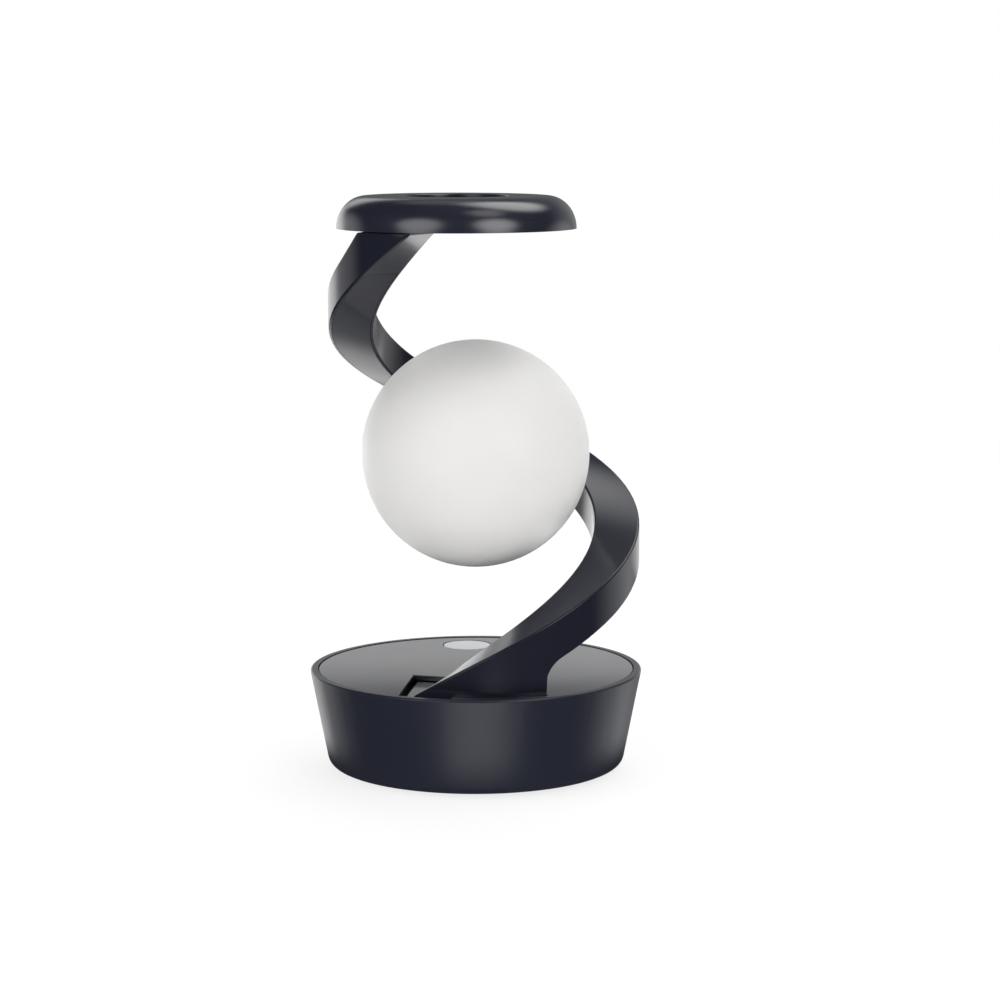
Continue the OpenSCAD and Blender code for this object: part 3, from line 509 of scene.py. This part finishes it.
# world: white to camera and transmission rays; to all others a room of soft patches of
# light. Each lies round a direction: turn from the front towards +X and rise above the
# table. It is full within one angle and ends at its reach. All angles are in degrees
room = {
    "behindMid": {"turn": 182, "rise": 14, "reach": 42, "full": 8, "strength": 0.14},
    "behindRight": {"turn": 140, "rise": -4, "reach": 42, "full": 8, "strength": 0.35},
    "behindFoot": {"turn": -163, "rise": 23, "reach": 14, "full": 3, "strength": 1.0},
    "behindTop": {"turn": -178, "rise": 60, "reach": 22, "full": 8, "strength": 0.35},
    "edgeLeft": {"turn": -154, "rise": -6, "reach": 24, "full": 5, "strength": 1.35},
    "edgeRight": {"turn": 118, "rise": -15, "reach": 32, "full": 7, "strength": 0.72},
    "sideLeft": {"turn": -125, "rise": -4, "reach": 31, "full": 7, "strength": 0.75},
    "lowLeft": {"turn": -160, "rise": -40, "reach": 20, "full": 5, "strength": 1.8},
    "lowRight": {"turn": 148, "rise": -38, "reach": 19, "full": 5, "strength": 2.8},
    "leftBox": {"turn": -37, "rise": 20, "reach": 27, "full": 9, "strength": 1.9},
    "rightBox": {"turn": 40, "rise": 20, "reach": 25, "full": 8, "strength": 2.8},
    "over": {"turn": 128, "rise": 59, "reach": 26, "full": 9, "strength": 3.0},
    "edgeShine": {"turn": 46, "rise": 60, "reach": 17, "full": 5, "strength": 1.2},
    "frontLow": {"turn": 2, "rise": -38, "reach": 29, "full": 9, "strength": 1.65},
    "below": {"turn": 180, "rise": -57, "reach": 19, "full": 6, "strength": 0.55},
    "under": {"turn": 0, "rise": -72, "reach": 25, "full": 8, "strength": 1.6},
    "all": {"turn": 0, "rise": 90, "reach": 180, "full": 179, "strength": 0.01},
}
world = bpy.data.worlds.new("studio")
bpy.context.scene.world = world
world.use_nodes = True
worldTree = world.node_tree
worldTree.nodes.clear()
way = addNode(worldTree, "ShaderNodeTexCoord")


# adds one patch's light to the sum of those before it
def roomPatch(patch, before):
    turn, rise = math.radians(patch["turn"]), math.radians(patch["rise"])
    centre = (math.sin(turn) * math.cos(rise), -math.cos(turn) * math.cos(rise),
              math.sin(rise))
    facing = addNode(worldTree, "ShaderNodeVectorMath", {1: centre}, operation="DOT_PRODUCT")
    worldTree.links.new(way.outputs["Generated"], facing.inputs[0])
    soft = addNode(worldTree, "ShaderNodeMapRange", {
        "From Min": math.cos(math.radians(patch["reach"])),
        "From Max": math.cos(math.radians(patch["full"]))},
        interpolation_type="SMOOTHSTEP")
    worldTree.links.new(facing.outputs["Value"], soft.inputs["Value"])
    added = addNode(worldTree, "ShaderNodeMath", {1: patch["strength"], 2: 0},
                    operation="MULTIPLY_ADD")
    worldTree.links.new(soft.outputs["Result"], added.inputs[0])
    if before is not None:
        worldTree.links.new(before, added.inputs[2])
    return added.outputs["Value"]


roomLight = None
for patch in room.values():
    roomLight = roomPatch(patch, roomLight)
ray = addNode(worldTree, "ShaderNodeLightPath")
seesWhite = addNode(worldTree, "ShaderNodeMath", operation="MAXIMUM")
worldTree.links.new(ray.outputs["Is Camera Ray"], seesWhite.inputs[0])
worldTree.links.new(ray.outputs["Is Transmission Ray"], seesWhite.inputs[1])
strength = addNode(worldTree, "ShaderNodeMix", {"B": 1.0}, data_type="FLOAT")
worldTree.links.new(seesWhite.outputs["Value"], strength.inputs["Factor"])
worldTree.links.new(roomLight, strength.inputs["A"])
sky = addNode(worldTree, "ShaderNodeBackground", {"Color": (1, 1, 1, 1)})
worldTree.links.new(strength.outputs["Result"], sky.inputs["Strength"])
worldOut = addNode(worldTree, "ShaderNodeOutputWorld")
worldTree.links.new(sky.outputs["Background"], worldOut.inputs["Surface"])

# lamps: the fills light what is matt, and the panel's lamp is only a mirrored shine
lampAim = (0, 0, 0.11)
lamps = {
    "leftFill": {"place": (-1.5, -0.4, 0.95), "size": (1.0, 1.0), "power": 13.5},
    "rightFill": {"place": (1.5, -0.4, 0.95), "size": (1.0, 1.0), "power": 8.5},
    "highFill": {"place": (0.0, -0.3, 1.9), "size": (1.2, 0.8), "power": 9.0},
    "lowFill": {"place": (0.0, -1.4, -1.0), "size": (1.4, 0.8), "power": 15.5},
    "backFill": {"place": (0.1, 1.45, 1.15), "size": (1.6, 1.2), "power": 22.0},
    "panelGrade": {"place": (0.0, 0.36, 0.06), "size": (0.7, 0.116), "power": 0.17,
                   "aim": (0, 0, 0.06), "shine": True},
}


def addLamp(name, look):
    bpy.ops.object.light_add(type="AREA", location=look["place"])
    lamp = bpy.context.object
    lamp.name = name
    lamp.data.shape = "RECTANGLE"
    lamp.data.size, lamp.data.size_y = look["size"]
    lamp.data.energy = look["power"]
    towards = Vector(look.get("aim", lampAim)) - Vector(look["place"])
    lamp.rotation_euler = towards.to_track_quat("-Z", "Y").to_euler()
    lamp.visible_glossy = look.get("shine", False)
    lamp.visible_diffuse = not lamp.visible_glossy
    lamp.visible_camera = False


for name, look in lamps.items():
    addLamp(name, look)
print("studio made")

# camera: it looks down and to the side by these angles in radians
view = {"place": (0.0, -1.0469, 0.2491), "down": 0.1404, "side": -0.0087,
        "lens": 101.3, "sensor": 36.0, "clipStart": 0.01}
bpy.ops.object.camera_add(
    location=view["place"], rotation=(math.pi / 2 - view["down"], 0, view["side"]))
camera = bpy.context.object
camera.name = "camera"
camera.data.lens = view["lens"]
camera.data.sensor_width = view["sensor"]
camera.data.clip_start = view["clipStart"]
bpy.context.scene.camera = camera
bpy.context.scene.view_settings.view_transform = "Standard"
print("camera set")
